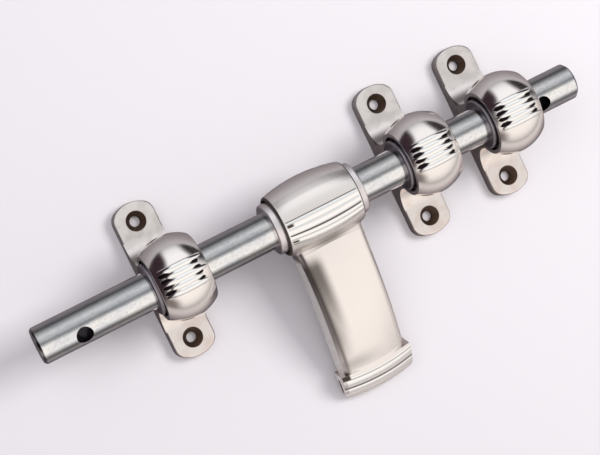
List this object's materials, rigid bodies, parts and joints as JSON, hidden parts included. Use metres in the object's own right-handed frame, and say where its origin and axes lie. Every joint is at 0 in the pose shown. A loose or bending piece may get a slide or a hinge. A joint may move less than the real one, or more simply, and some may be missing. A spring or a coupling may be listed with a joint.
{
  "type": "sliding door bolt",
  "caption": "Round sliding door bolt in fluted ball brackets, with a curved drop handle and padlock holes through the rod.",
  "frame": {"origin": "centre of the left bracket's back face, on the door", "axes": "+X along the bolt towards the keeper, +Z out from the door, the handle hangs towards -Y"},
  "size_m": [0.254, 0.1178, 0.0461],
  "materials": {
    "satin_nickel": "satin",
    "nickel_rings": "satin",
    "zinc_steel": "satin",
    "dark_steel": "satin"
  },
  "bodies": {
    "brackets": {"left_bracket": "satin_nickel", "middle_bracket": "satin_nickel", "keeper_bracket": "satin_nickel"},
    "bushes": {"left_bracket_bush_a": "nickel_rings", "left_bracket_bush_b": "nickel_rings", "middle_bracket_bush_a": "nickel_rings", "middle_bracket_bush_b": "nickel_rings", "keeper_bracket_bush_a": "nickel_rings", "keeper_bracket_bush_b": "nickel_rings"},
    "bolt": {"bolt_rod": "zinc_steel", "handle": "satin_nickel", "handle_grub_screw": "dark_steel", "handle_collar_a": "nickel_rings", "handle_collar_b": "nickel_rings"}
  },
  "joints": [
    {"name": "bolt_turn", "type": "hinge", "parent": "brackets", "child": "bushes", "pos_m": [0, 0, 0.0275], "axis": [-1, 0, 0], "range_deg": [0, 211.5]},
    {"name": "bolt_slide", "type": "slide", "parent": "bushes", "child": "bolt", "axis": [1, 0, 0], "range_m": [-0.031, 0.0201]}
  ]
}
